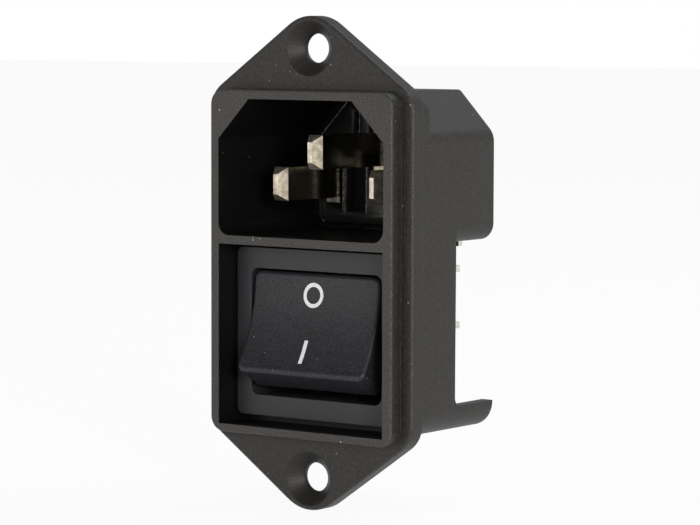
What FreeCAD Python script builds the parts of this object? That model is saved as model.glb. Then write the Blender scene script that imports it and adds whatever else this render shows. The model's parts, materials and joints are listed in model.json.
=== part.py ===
import FreeCAD, Part
import os
import re
import Sketcher
from FreeCAD import Placement, Rotation, Vector

# Panel-mount appliance inlet with a rocker power switch below it.
# X runs to the right, Y runs into the panel and Z runs up. The origin is the centre between
# the two screw holes, on the flange's rear face, which lies against the panel.

os.makedirs("parts", exist_ok=True)

# Driving dimensions, in millimetres and degrees.
DRIVING = {
    # socket cavity, which sets the widths of everything round it
    "socket_width": 23.9,
    "socket_height": 16.0,
    "socket_chamfer_run": 4.5,
    "socket_chamfer_drop": 4.7,
    "socket_corner": 1.5,
    "divider": 1.045,
    # flange and its two ears
    "flange_margin": 1.6,
    "flange_thickness": 2.1,
    "flange_corner": 3.6,
    "flange_edge": 0.4,
    "ear_point": 4.94,
    "ear_radius": 5.4,
    "shoulder_drop": 0.6,
    "screw_margin": 4.8,
    "screw_hole": 3.4,
    "screw_countersink": 6.45,
    # raised frame on the flange
    "frame_wall": 1.2,
    "frame_lip": 0.1,
    "frame_foot": 0.5,
    "frame_rise": 1.9,
    "frame_corner": 1.8,
    "frame_edge": 0.3,
    # mouldings behind the panel
    "shell_wall": 1.45,
    "shell_roof": 1.03,
    "shell_floor": 0.62,
    "recess_floor": 0.475,
    "body_corner": 3.0,
    "rim_depth": 3.1,
    "shell_depth": 16.3,
    "shell_chamfer_run": 4.9,
    "shell_chamfer_drop": 5.15,
    "shell_corner": 2.0,
    "shell_shoulder": 2.3,
    "shell_edge": 0.8,
    "box_depth": 8.5,
    "box_wall": 1.5,
    "tray_height": 3.15,
    "tray_radius": 1.0,
    # recess that the switch sits in
    "recess_upper_gap": 0.475,
    "recess_lower_gap": 0.875,
    "recess_side_gap": 0.3,
    "shelf_thickness": 1.5,
    # blades of the inlet
    "pin_inset": 4.95,
    "pin_thickness": 2.0,
    "pin_height": 4.0,
    "pin_drop": 2.1,
    "earth_rise": 4.0,
    "pin_setback": 4.55,
    "earth_setback": 2.0,
    "tip_length": 1.25,
    "tip_width": 0.6,
    "tip_height": 2.4,
    "shoulder_height": 5.3,
    "shoulder_proud": 0.05,
    "tail_diameter": 1.6,
    "tail_head": 2.4,
    "tail_head_height": 0.5,
    # carrier that closes the back of the socket and holds the blades
    "base_thickness": 1.7,
    "base_clearance": 0.05,
    "island_side_gap": 2.75,
    "island_lower_gap": 0.78,
    "island_upper_gap": 0.57,
    "island_rise": 2.6,
    "island_top_width": 10.3,
    "island_chamfer_drop": 4.2,
    "island_edge": 0.2,
    "island_foot": 0.7,
    "well_depth": 2.0,
    "well_width": 2.5,
    "well_height": 6.8,
    "earth_well_width": 3.5,
    "core_wall": 0.54,
    "core_inset": 2.28,
    "core_sill": 1.45,
    "vent_width": 0.6,
    "vent_height": 2.2,
    "vent_offset": 3.64,
    "vent_rise": 6.1,
    "slot_clearance": 0.05,
    # tabs riveted to the blades
    "lug_width": 2.8,
    "lug_thickness": 0.8,
    "lug_drop": 7.52,
    "lug_margin": 1.7,
    "lug_hole": 1.3,
    "lug_hole_margin": 1.6,
    "earth_tab_width": 4.8,
    "earth_tab_reach": 5.0,
    # switch case and bezel
    "switch_drop": 8.4,
    "bezel_side": 2.1,
    "bezel_end": 2.45,
    "bezel_thickness": 1.8,
    "bezel_setback": 3.2,
    "bezel_corner": 0.8,
    "opening_inset": 2.45,
    "opening_height": 15.0,
    "opening_corner": 1.0,
    "case_wall": 0.9,
    "case_length": 11.4,
    "case_floor": 1.6,
    "case_clearance": 0.1,
    "partition": 1.0,
    "partition_setback": 4.5,
    "latch_width": 5.0,
    "latch_height": 0.5,
    "latch_length": 1.6,
    # rocker
    "hinge_setback": 3.1,
    "rest_tilt": 17.2,
    "rocker_side_gap": 0.3,
    "rocker_wall": 1.2,
    "rocker_corner": 1.0,
    "rocker_edge": 0.5,
    "face_reach": 5.07,
    "face_taper": 0.98,
    "face_radius": 19.25,
    "face_thickness": 1.2,
    "skirt_gap": 0.5,
    "skirt_setback": 1.0,
    "skirt_end_wall": 1.4,
    "lobe_radius": 2.0,
    "trunnion_diameter": 2.4,
    "trunnion_length": 1.05,
    "bearing_clearance": 0.05,
    # sprung plungers inside the rocker
    "pole_spacing": 10.0,
    "plunger_diameter": 3.0,
    "plunger_clearance": 0.03,
    "plunger_reach": 4.0,
    "plunger_tip": 1.0,
    "plunger_travel": 0.36,
    "plunger_back": 1.4,
    "plunger_cup": 2.2,
    "plunger_cup_depth": 4.0,
    "tube_wall": 0.7,
    "tube_end": 1.6,
    "tube_bottom": 2.4,
    "spring_wire": 0.3,
    "spring_diameter": 1.9,
    "spring_pitch": 0.7,
    "spring_gap": 0.05,
    # rocking contacts
    "arm_tilt": 8.0,
    "arm_thickness": 0.6,
    "arm_width": 3.2,
    "arm_lower": 4.2,
    "arm_gap": 0.03,
    "contact_offset": 4.8,
    "contact_diameter": 2.4,
    "contact_height": 0.5,
    "shank_diameter": 1.2,
    "shank_clearance": 0.02,
    # switch terminals
    "tab_rise": 0.25,
    "tab_width": 4.8,
    "tab_thickness": 0.8,
    "tab_reach": 5.7,
    "tab_hole": 1.4,
    "tab_hole_margin": 2.6,
    "knife_length": 0.8,
}

doc = FreeCAD.newDocument("appliance_inlet")
sheet = doc.addObject("Spreadsheet::Sheet", "sizes")
for row, (alias, number) in enumerate(DRIVING.items(), start=1):
    sheet.set(f"A{row}", alias)
    sheet.set(f"B{row}", str(number))
    sheet.setAlias(f"B{row}", alias)
doc.recompute()

nodes = []


def linked(text):
    """Write an expression so that each alias in it points at the sheet."""
    return re.sub(r"[a-z_]+", lambda m: "sizes." + m[0] if m[0] in DRIVING else m[0], text)


def value(text):
    """Work out an expression as a plain number."""
    result = sheet.evalExpression(linked(text))
    return float(getattr(result, "Value", result))


def bind(thing, **properties):
    """Tie properties of an object to the sheet. A double underscore stands for a dot."""
    for name, text in properties.items():
        thing.setExpression(name.replace("__", "."), linked(text))
    return thing


def node(thing, name):
    """Give a finished piece its own name and put it on the list of pieces."""
    thing.Label = name
    nodes.append(thing)
    return thing


# Depths that several pieces share.
FRAME_FACE = "(-flange_thickness - frame_rise)"
BEZEL_FACE = f"({FRAME_FACE} + bezel_setback)"
SHELF_FACE = f"({BEZEL_FACE} + bezel_thickness)"
SHELF_BACK = f"({SHELF_FACE} + shelf_thickness)"
CASE_BACK = f"({SHELF_FACE} + case_length)"
TAB_END = f"({CASE_BACK} + tab_reach)"
HINGE_Y = f"({BEZEL_FACE} + hinge_setback)"
BASE_BACK = "shell_depth"
BASE_FRONT = f"({BASE_BACK} - base_thickness)"
LUG_BACK = f"({BASE_BACK} + lug_thickness)"
ISLAND_FACE = f"({BASE_FRONT} - island_rise)"

# Heights, worked out from the switch upwards and downwards, and the place of the side blades.
BEZEL_TOP = "(opening_height / 2 + bezel_end - switch_drop)"
BEZEL_BOTTOM = "(-opening_height / 2 - bezel_end - switch_drop)"
RECESS_TOP = f"({BEZEL_TOP} + recess_upper_gap)"
RECESS_BOTTOM = f"({BEZEL_BOTTOM} - recess_lower_gap)"
SOCKET_FLOOR = f"({RECESS_TOP} + divider)"
SOCKET_TOP = f"({SOCKET_FLOOR} + socket_height)"
SHELL_BOTTOM = f"({SOCKET_FLOOR} - shell_floor)"
BODY_TOP = f"({SOCKET_TOP} + shell_roof)"
BODY_BOTTOM = f"({RECESS_BOTTOM} - recess_floor)"
FRAME_TOP = f"({BODY_TOP} + frame_lip)"
FRAME_BOTTOM = f"({BODY_BOTTOM} - frame_foot)"
SCREW_TOP = f"({FRAME_TOP} + screw_margin)"
SCREW_BOTTOM = f"({FRAME_BOTTOM} - screw_margin)"
PIN_X = "(socket_width / 2 - pin_inset)"
PIN_Z = f"({SOCKET_FLOOR} + socket_height / 2 - pin_drop)"
EARTH_Z = f"({PIN_Z} + earth_rise)"
COMMON_Z = "(tab_rise - switch_drop)"
FIXED_Z = "(opening_height / 2 - switch_drop - slot_clearance - tab_thickness / 2)"

# Half widths and half heights, from the middle of the socket or the switch.
BODY_HALF = "(socket_width / 2 + shell_wall)"
FRAME_HALF = "(socket_width / 2 + frame_wall)"
FLANGE_HALF = f"({FRAME_HALF} + flange_margin)"
OPENING_HALF = "(socket_width / 2 - opening_inset)"
BEZEL_HALF = f"({OPENING_HALF} + bezel_side)"
RECESS_HALF = f"({BEZEL_HALF} + recess_side_gap)"
CASE_HALF_WIDTH = f"({OPENING_HALF} + case_wall)"
CASE_HALF_HEIGHT = "(opening_height / 2 + case_wall)"
ROCKER_HALF = f"({OPENING_HALF} - rocker_side_gap)"
SKIRT_HALF = "(opening_height / 2 - skirt_gap)"
FACE_HALF = f"({SKIRT_HALF} - face_taper)"
FACE_SAGITTA = f"(face_radius - (face_radius ^ 2 - {FACE_HALF} ^ 2) ^ 0.5)"

# The rocking contact turns about the knife edge of its common terminal. The edge stands where
# the plunger's round tip just meets the contact at both ends of the rocker's swing.
KNIFE_REACH = (
    "((arm_thickness + plunger_tip + arm_gap + plunger_reach * (cos(rest_tilt * 1 deg)"
    " * cos(arm_tilt * 1 deg) - sin(rest_tilt * 1 deg) * sin(arm_tilt * 1 deg)))"
    " / cos(arm_tilt * 1 deg))"
)
KNIFE_Y = f"({HINGE_Y} + {KNIFE_REACH})"

# The fixed contact stands where the moving contact meets it with the switch on.
CONTACT_Y = (
    f"({KNIFE_Y} + contact_offset * sin(arm_tilt * 1 deg)"
    " + contact_height * cos(arm_tilt * 1 deg)"
    " + contact_diameter / 2 * sin(arm_tilt * 1 deg) + arm_gap)"
)
FIXED_PLATE_Y = f"({CONTACT_Y} + contact_height)"


def new_body(name):
    """Start a part design body."""
    return doc.addObject("PartDesign::Body", name)


def new_sketch(body, name, role, offset):
    """Add a sketch on one of the body's own origin planes, moved along its normal."""
    sketch = body.newObject("Sketcher::SketchObject", name)
    plane = next(f for f in body.Origin.OriginFeatures if f.Role == role)
    sketch.AttachmentSupport = (plane, [""])
    sketch.MapMode = "FlatFace"
    bind(sketch, AttachmentOffset__Base__z=offset)
    return sketch


def hold_point(sketch, line, end, across, up):
    """Fix one end of a line at a place given by two expressions."""
    for kind, axis, text in (("DistanceX", -2, across), ("DistanceY", -1, up)):
        if text == "0":
            sketch.addConstraint(Sketcher.Constraint("PointOnObject", line, end, axis))
            continue
        number = sketch.addConstraint(Sketcher.Constraint(kind, line, end, value(text)))
        sketch.setExpression(f"Constraints[{number}]", linked(text))


def draw_polygon(sketch, corners, arc_radius=None):
    """Draw a closed outline. With arc_radius, the first side is an arc that bows inwards."""
    points = [Vector(value(across), value(up), 0) for across, up in corners]
    count = len(points)
    for index in range(count):
        start, end = points[index], points[(index + 1) % count]
        if index == 0 and arc_radius:
            radius = value(arc_radius)
            half = (end - start).Length / 2
            normal = Vector(end.y - start.y, start.x - end.x, 0).normalize()
            inside = sum(points, Vector()) / count
            if (inside - start).dot(normal) > 0:
                normal = -normal
            middle = (start + end) / 2
            centre = middle + normal * (radius ** 2 - half ** 2) ** 0.5
            bow = centre - normal * radius
            sketch.addGeometry(Part.Arc(start, bow, end), False)
        else:
            sketch.addGeometry(Part.LineSegment(start, end), False)
    ends = [(1, 2)] * count
    if sketch.getPoint(0, 1).sub(points[0]).Length > sketch.getPoint(0, 2).sub(points[0]).Length:
        ends[0] = (2, 1)
    for index, (across, up) in enumerate(corners):
        following = (index + 1) % count
        joint = (index, ends[index][1], following, ends[following][0])
        sketch.addConstraint(Sketcher.Constraint("Coincident", *joint))
        hold_point(sketch, index, ends[index][0], across, up)
    if arc_radius:
        number = sketch.addConstraint(Sketcher.Constraint("Radius", 0, value(arc_radius)))
        sketch.setExpression(f"Constraints[{number}]", linked(arc_radius))
    return sketch


def draw_circle(sketch, across, up, diameter):
    """Draw a circle at a place given by two expressions."""
    centre = Vector(value(across), value(up), 0)
    line = sketch.addGeometry(Part.Circle(centre, Vector(0, 0, 1), value(diameter) / 2), False)
    hold_point(sketch, line, 3, across, up)
    number = sketch.addConstraint(Sketcher.Constraint("Diameter", line, value(diameter)))
    sketch.setExpression(f"Constraints[{number}]", linked(diameter))
    return sketch


def box_corners(half_width, low, high):
    """Corners of a rectangle that is centred on X."""
    return [
        (f"-({half_width})", low),
        (half_width, low),
        (half_width, high),
        (f"-({half_width})", high),
    ]


def rectangle(low_x, high_x, low_z, high_z):
    """Corners of a rectangle from its four sides."""
    return [(low_x, low_z), (high_x, low_z), (high_x, high_z), (low_x, high_z)]


def inlet_corners(half_width, low, high, run, drop):
    """Corners of the inlet's outline: a rectangle with its two upper corners cut off."""
    return [
        (f"-({half_width})", low),
        (half_width, low),
        (half_width, f"({high}) - ({drop})"),
        (f"({half_width}) - ({run})", high),
        (f"-(({half_width}) - ({run}))", high),
        (f"-({half_width})", f"({high}) - ({drop})"),
    ]


def add_feature(body, kind, sketch, length, adds):
    """Pad or pocket a sketch, and check that it changed the body the right way."""
    before = body.Shape.Volume if body.Tip else 0.0
    feature = body.newObject(kind, f"{sketch.Name}_pad" if adds else f"{sketch.Name}_cut")
    feature.Profile = sketch
    bind(feature, Length=length)
    doc.recompute()
    change = body.Shape.Volume - before
    if (change > 0) != adds or abs(change) < 1e-6:
        raise RuntimeError(f"{feature.Name} changed the volume by {change}")
    return feature


def pad_y(body, name, corners, low, high):
    """Fill an outline in the XZ plane between two depths."""
    sketch = draw_polygon(new_sketch(body, name, "XZ_Plane", f"-({high})"), corners)
    return add_feature(body, "PartDesign::Pad", sketch, f"({high}) - ({low})", True)


def pocket_y(body, name, corners, low, high):
    """Cut an outline in the XZ plane between two depths."""
    sketch = draw_polygon(new_sketch(body, name, "XZ_Plane", f"-({low})"), corners)
    return add_feature(body, "PartDesign::Pocket", sketch, f"({high}) - ({low})", False)


def bore_y(body, name, across, up, diameter, low, high):
    """Cut a round hole along Y between two depths."""
    sketch = draw_circle(new_sketch(body, name, "XZ_Plane", f"-({low})"), across, up, diameter)
    return add_feature(body, "PartDesign::Pocket", sketch, f"({high}) - ({low})", False)


def dress_edges(body, kind, name, wanted, **sizes):
    """Round or chamfer the edges of the body that a test picks out."""
    base = body.Tip
    edges = [f"Edge{i}" for i, edge in enumerate(base.Shape.Edges, start=1) if wanted(edge)]
    if not edges:
        raise RuntimeError(f"{name} found no edge")
    feature = body.newObject(kind, name)
    feature.Base = (base, edges)
    bind(feature, **sizes)
    doc.recompute()
    return feature


def round_edges(body, name, radius, wanted):
    """Round the edges of the body that a test picks out."""
    return dress_edges(body, "PartDesign::Fillet", name, wanted, Radius=radius)


def along_y(points, low, high):
    """Pick straight edges along Y that stand at given places, between two depths."""
    places = [(value(across), value(up)) for across, up in points]
    near, far = value(low) - 0.01, value(high) + 0.01

    def wanted(edge):
        box = edge.BoundBox
        if box.YLength < 0.05 or box.XLength > 0.001 or box.ZLength > 0.001:
            return False
        if box.YMin < near or box.YMax > far:
            return False
        return any(abs(box.XMin - x) < 0.01 and abs(box.ZMin - z) < 0.01 for x, z in places)

    return wanted


def in_plane_y(depth, half_width="0", low="0", high="0"):
    """Pick edges that lie in one plane across Y and reach outside a rectangle."""
    level, side, bottom, top = (value(text) for text in (depth, half_width, low, high))

    def wanted(edge):
        box = edge.BoundBox
        flat = abs(box.YMin - level) < 0.001 and abs(box.YMax - level) < 0.001
        wide = max(-box.XMin, box.XMax) > side + 0.01
        return flat and (wide or box.ZMin < bottom - 0.01 or box.ZMax > top + 0.01)

    return wanted


def block(name, low, high):
    """A plain box between two corners given as expressions."""
    box = doc.addObject("Part::Box", name)
    lengths = [f"({b}) - ({a})" for a, b in zip(low, high)]
    bind(box, Length=lengths[0], Width=lengths[1], Height=lengths[2])
    bind(box, Placement__Base__x=low[0], Placement__Base__y=low[1], Placement__Base__z=low[2])
    return box


def rod_y(name, across, up, diameter, low, high):
    """A cylinder along Y between two depths."""
    rod = doc.addObject("Part::Cylinder", name)
    rod.Placement = Placement(Vector(), Rotation(Vector(1, 0, 0), -90))
    bind(rod, Radius=f"({diameter}) / 2", Height=f"({high}) - ({low})")
    bind(rod, Placement__Base__x=across, Placement__Base__y=low, Placement__Base__z=up)
    return rod


def fuse(name, pieces):
    """Join pieces into one."""
    joined = doc.addObject("Part::MultiFuse", name)
    joined.Shapes = pieces
    joined.Refine = True
    return joined


def cut(name, base, tools):
    """Take tools out of a piece."""
    current = base
    for index, tool in enumerate(tools, start=1):
        result = doc.addObject("Part::Cut", f"{name}_{index}" if index < len(tools) else name)
        result.Base = current
        result.Tool = tool
        result.Refine = True
        current = result
    return current


# Housing: flange, frame, socket shell, switch box and tray in one moulding
def make_housing():
    body = new_body("housing_body")
    shoulder_top = f"({FRAME_TOP} - shoulder_drop)"
    shoulder_bottom = f"({FRAME_BOTTOM} + shoulder_drop)"
    flange = [
        (f"-{FLANGE_HALF}", shoulder_bottom),
        ("0", f"{SCREW_BOTTOM} - ear_point"),
        (FLANGE_HALF, shoulder_bottom),
        (FLANGE_HALF, shoulder_top),
        ("0", f"{SCREW_TOP} + ear_point"),
        (f"-{FLANGE_HALF}", shoulder_top),
    ]
    pad_y(body, "flange", flange, "-flange_thickness", "0")
    corners = [flange[0], flange[2], flange[3], flange[5]]
    round_edges(body, "ear_rounding", "ear_radius",
                along_y([flange[1], flange[4]], "-flange_thickness", "0"))
    round_edges(body, "flange_corners", "flange_corner",
                along_y(corners, "-flange_thickness", "0"))

    frame = box_corners(FRAME_HALF, FRAME_BOTTOM, FRAME_TOP)
    pad_y(body, "frame", frame, FRAME_FACE, "-flange_thickness")
    round_edges(body, "frame_corners", "frame_corner",
                along_y(frame, FRAME_FACE, "-flange_thickness"))
    round_edges(body, "frame_front", "frame_edge", in_plane_y(FRAME_FACE))
    round_edges(body, "flange_front", "flange_edge",
                in_plane_y("-flange_thickness", FRAME_HALF, FRAME_BOTTOM, FRAME_TOP))

    rim = box_corners(BODY_HALF, BODY_BOTTOM, BODY_TOP)
    pad_y(body, "rim", rim, "0", "shell_depth")
    round_edges(body, "rim_corners", "body_corner", along_y(rim, "0", "shell_depth"))
    middle = f"{SHELL_BOTTOM} + shell_corner"
    tray_lip = f"{BODY_BOTTOM} + tray_height"
    pocket_y(body, "above_box", box_corners(FLANGE_HALF, middle, f"{BODY_TOP} + rim_depth"),
             "rim_depth", "shell_depth")
    pocket_y(body, "above_tray", box_corners(FLANGE_HALF, tray_lip, middle),
             "box_depth", "shell_depth")
    lip, box_end = value(tray_lip), value("box_depth")

    def tray_corner(edge):
        box = edge.BoundBox
        level = abs(box.ZMin - lip) < 0.01 and abs(box.ZMax - lip) < 0.01
        return level and abs(box.YMin - box_end) < 0.01 and abs(box.YMax - box_end) < 0.01

    round_edges(body, "tray_corner", "tray_radius", tray_corner)

    shell = inlet_corners(BODY_HALF, SHELL_BOTTOM, BODY_TOP, "shell_chamfer_run",
                          "shell_chamfer_drop")
    pad_y(body, "shell", shell, "rim_depth", "shell_depth")
    round_edges(body, "shell_corners", "shell_corner",
                along_y(shell[:2], "rim_depth", "shell_depth"))
    round_edges(body, "shell_shoulders", "shell_shoulder",
                along_y([shell[2], shell[5]], "rim_depth", "shell_depth"))
    round_edges(body, "shell_edges", "shell_edge",
                along_y(shell[3:5], "rim_depth", "shell_depth"))

    inner, tray_floor = f"({BODY_HALF} - box_wall)", f"{BODY_BOTTOM} + box_wall"
    pocket_y(body, "tray_hollow", box_corners(inner, tray_floor, tray_lip),
             "box_depth", "shell_depth")
    pocket_y(body, "box_hollow", box_corners(inner, tray_floor, f"{SHELL_BOTTOM} - box_wall"),
             SHELF_BACK, "box_depth + tray_radius")

    socket = inlet_corners("socket_width / 2", SOCKET_FLOOR, SOCKET_TOP,
                           "socket_chamfer_run", "socket_chamfer_drop")
    pocket_y(body, "socket", socket, FRAME_FACE, "shell_depth")
    round_edges(body, "socket_corners", "socket_corner",
                along_y(socket[:2], FRAME_FACE, "shell_depth"))

    pocket_y(body, "switch_recess", box_corners(RECESS_HALF, RECESS_BOTTOM, RECESS_TOP),
             FRAME_FACE, SHELF_FACE)
    cutout = box_corners(f"{CASE_HALF_WIDTH} + case_clearance",
                         f"-switch_drop - {CASE_HALF_HEIGHT} - case_clearance",
                         f"-switch_drop + {CASE_HALF_HEIGHT} + case_clearance")
    pocket_y(body, "switch_cutout", cutout, SHELF_FACE, SHELF_BACK)

    places = new_sketch(body, "screw_places", "XZ_Plane", "flange_thickness")
    for height in (SCREW_TOP, SCREW_BOTTOM):
        draw_circle(places, "0", height, "screw_hole")
    doc.recompute()
    before = body.Shape.Volume
    hole = body.newObject("PartDesign::Hole", "screw_holes")
    hole.Profile = places
    doc.recompute()
    hole.DepthType = "ThroughAll"
    hole.HoleCutType = "Countersink"
    hole.HoleCutCustomValues = True
    hole.HoleCutCountersinkAngle = 90
    bind(hole, Diameter="screw_hole", HoleCutDiameter="screw_countersink")
    doc.recompute()
    if body.Shape.Volume >= before:
        raise RuntimeError("the screw holes cut nothing")
    return node(body, "housing")


# Carrier: a base that fits the back of the socket, with an island sunk round each blade
def make_carrier():
    body = new_body("carrier_body")
    base = inlet_corners("socket_width / 2 - base_clearance", f"{SOCKET_FLOOR} + base_clearance",
                         f"{SOCKET_TOP} - base_clearance", "socket_chamfer_run",
                         "socket_chamfer_drop")
    pad_y(body, "base", base, BASE_FRONT, BASE_BACK)
    round_edges(body, "base_corners", "socket_corner", along_y(base[:2], BASE_FRONT, BASE_BACK))
    island_half = "(socket_width / 2 - island_side_gap)"
    island = inlet_corners(island_half, f"{SOCKET_FLOOR} + island_lower_gap",
                           f"{SOCKET_TOP} - island_upper_gap",
                           f"{island_half} - island_top_width / 2", "island_chamfer_drop")
    pad_y(body, "island", island, ISLAND_FACE, BASE_FRONT)
    dress_edges(body, "PartDesign::Chamfer", "island_feet",
                along_y(island[:2], ISLAND_FACE, BASE_FRONT), Size="island_foot")

    def well(name, width, centre, low, high):
        corners = rectangle(f"{centre} - {width} / 2", f"{centre} + {width} / 2", low, high)
        pocket_y(body, name, corners, ISLAND_FACE, f"{ISLAND_FACE} + well_depth")

    places = {
        "left": (f"-{PIN_X}", PIN_Z, "well_width"),
        "right": (PIN_X, PIN_Z, "well_width"),
        "middle": ("0", EARTH_Z, "earth_well_width"),
    }
    for name, (across, up, width) in places.items():
        well(f"{name}_well", width, across, f"{up} - well_height / 2", f"{up} + well_height / 2")
        slot = rectangle(f"{across} - pin_thickness / 2 - slot_clearance",
                         f"{across} + pin_thickness / 2 + slot_clearance",
                         f"{up} - shoulder_height / 2 - slot_clearance",
                         f"{up} + shoulder_height / 2 + slot_clearance")
        pocket_y(body, f"{name}_slot", slot, f"{ISLAND_FACE} + well_depth", BASE_BACK)
    core_side = f"({PIN_X} - well_width / 2 - core_wall)"
    for name, sign in (("left", "-1"), ("right", "1")):
        well(f"{name}_core", f"({core_side} - core_inset)",
             f"{sign} * ({core_side} + core_inset) / 2",
             f"{SOCKET_FLOOR} + island_lower_gap + core_sill", f"{PIN_Z} + well_height / 2")
        middle = f"({PIN_Z} + vent_rise)"
        well(f"{name}_vent", "vent_width", f"{sign} * vent_offset", middle,
             f"{middle} + vent_height")
    dress_edges(body, "PartDesign::Chamfer", "island_edges",
                in_plane_y(ISLAND_FACE), Size="island_edge")
    return node(body, "pin_carrier")


# One blade: bevelled tip, shank, taller root and a tail peened over its lug
def make_pin(name, across, up, setback):
    tip_y = f"({FRAME_FACE} + {setback})"
    full_y = f"({tip_y} + tip_length)"
    tip = doc.addObject("Part::Wedge", f"{name}_tip")
    bind(tip, Ymin=tip_y, Ymax=full_y,
         Xmin=f"{across} - tip_width / 2", Xmax=f"{across} + tip_width / 2",
         Zmin=f"{up} - tip_height / 2", Zmax=f"{up} + tip_height / 2",
         X2min=f"{across} - pin_thickness / 2", X2max=f"{across} + pin_thickness / 2",
         Z2min=f"{up} - pin_height / 2", Z2max=f"{up} + pin_height / 2")
    left, right = f"{across} - pin_thickness / 2", f"{across} + pin_thickness / 2"
    root_y = f"({ISLAND_FACE} - shoulder_proud)"
    shank = block(f"{name}_shank", (left, full_y, f"{up} - pin_height / 2"),
                  (right, root_y, f"{up} + pin_height / 2"))
    root = block(f"{name}_root", (left, root_y, f"{up} - shoulder_height / 2"),
                 (right, BASE_BACK, f"{up} + shoulder_height / 2"))
    tail = rod_y(f"{name}_tail", across, up, "tail_diameter", BASE_BACK, LUG_BACK)
    head = rod_y(f"{name}_head", across, up, "tail_head", LUG_BACK,
                 f"{LUG_BACK} + tail_head_height")
    return node(fuse(f"{name}_solid", [tip, shank, root, tail, head]), name)


# Tab of a current blade: a flat plate behind the base that hangs down
def make_lug(name, side):
    body = new_body(f"{name}_body")
    across = f"({side} * {PIN_X})"
    plate = rectangle(f"{across} - lug_width / 2", f"{across} + lug_width / 2",
                      f"{PIN_Z} - lug_drop", f"{PIN_Z} + lug_margin")
    pad_y(body, f"{name}_plate", plate, BASE_BACK, LUG_BACK)
    bore_y(body, f"{name}_rivet_hole", across, PIN_Z, "tail_diameter + 2 * shank_clearance",
           BASE_BACK, LUG_BACK)
    bore_y(body, f"{name}_wire_hole", across, f"{PIN_Z} - lug_drop + lug_hole_margin", "lug_hole",
           BASE_BACK, LUG_BACK)
    return node(body, name)


# Tab of the earth blade: a foot riveted to the blade, bent to run straight back
def make_earth_tab():
    body = new_body("earth_tab_body")
    foot = box_corners("earth_tab_width / 2", f"{EARTH_Z} - lug_margin",
                       f"{EARTH_Z} + lug_margin + lug_thickness")
    pad_y(body, "earth_foot", foot, BASE_BACK, LUG_BACK)
    blade = box_corners("earth_tab_width / 2", f"{EARTH_Z} + lug_margin",
                        f"{EARTH_Z} + lug_margin + lug_thickness")
    pad_y(body, "earth_blade", blade, LUG_BACK, f"{LUG_BACK} + earth_tab_reach")
    bore_y(body, "earth_rivet_hole", "0", EARTH_Z, "tail_diameter + 2 * shank_clearance",
           BASE_BACK, LUG_BACK)
    place = new_sketch(body, "earth_wire_hole", "XY_Plane",
                       f"{EARTH_Z} + lug_margin + lug_thickness")
    draw_circle(place, "0", f"{LUG_BACK} + earth_tab_reach - lug_hole_margin", "lug_hole")
    add_feature(body, "PartDesign::Pocket", place, "lug_thickness", False)
    return node(body, "earth_tab")


# Switch frame: bezel and case in one moulding, open at the front
def make_switch_frame():
    body = new_body("switch_body")
    bezel = box_corners(BEZEL_HALF, BEZEL_BOTTOM, BEZEL_TOP)
    pad_y(body, "bezel", bezel, BEZEL_FACE, SHELF_FACE)
    round_edges(body, "bezel_corners", "bezel_corner", along_y(bezel, BEZEL_FACE, SHELF_FACE))
    case = box_corners(CASE_HALF_WIDTH, f"-switch_drop - {CASE_HALF_HEIGHT}",
                       f"-switch_drop + {CASE_HALF_HEIGHT}")
    pad_y(body, "case", case, SHELF_FACE, CASE_BACK)
    hollow = box_corners(OPENING_HALF, "-switch_drop - opening_height / 2",
                         "-switch_drop + opening_height / 2")
    pocket_y(body, "case_hollow", hollow, BEZEL_FACE, f"{CASE_BACK} - case_floor")
    round_edges(body, "opening_corners", "opening_corner",
                along_y(hollow, BEZEL_FACE, CASE_BACK))
    wall = box_corners("partition / 2", "-switch_drop - opening_height / 2",
                       "-switch_drop + opening_height / 2")
    pad_y(body, "middle_wall", wall, f"{HINGE_Y} + partition_setback",
          f"{CASE_BACK} - case_floor / 2")
    for name, sign in (("upper", "1"), ("lower", "-1")):
        edge = f"-switch_drop + {sign} * {CASE_HALF_HEIGHT}"
        lip = f"{edge} + {sign} * latch_height"
        pad_y(body, f"{name}_latch", box_corners("latch_width / 2", edge, lip),
              f"{SHELF_BACK} + slot_clearance", f"{SHELF_BACK} + latch_length")
    for column, sign in (("left", "-1"), ("right", "1")):
        centre = f"{sign} * pole_spacing / 2"
        for row, height in (("common", COMMON_Z), ("fixed", FIXED_Z)):
            slot = rectangle(f"{centre} - tab_width / 2 - slot_clearance",
                             f"{centre} + tab_width / 2 + slot_clearance",
                             f"{height} - tab_thickness / 2 - slot_clearance",
                             f"{height} + tab_thickness / 2 + slot_clearance")
            pocket_y(body, f"{column}_{row}_slot", slot, f"{CASE_BACK} - case_floor", CASE_BACK)
    bearing = new_sketch(body, "bearing_place", "YZ_Plane", CASE_HALF_WIDTH)
    draw_circle(bearing, HINGE_Y, "-switch_drop", "trunnion_diameter + 2 * bearing_clearance")
    add_feature(body, "PartDesign::Pocket", bearing, f"2 * {CASE_HALF_WIDTH}", False)
    return node(body, "switch_frame")


def tilt(thing):
    """Put a piece that was drawn square to the rocker at the rocker's place and rest tilt."""
    thing.Placement = Placement(Vector(), Rotation(Vector(1, 0, 0), -value("rest_tilt")))
    bind(thing, Placement__Base__y=HINGE_Y, Placement__Base__z="-switch_drop",
         Placement__Rotation__Angle="rest_tilt * 1 deg")
    thing.Placement.Rotation.Axis = Vector(-1, 0, 0)
    return thing


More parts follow.
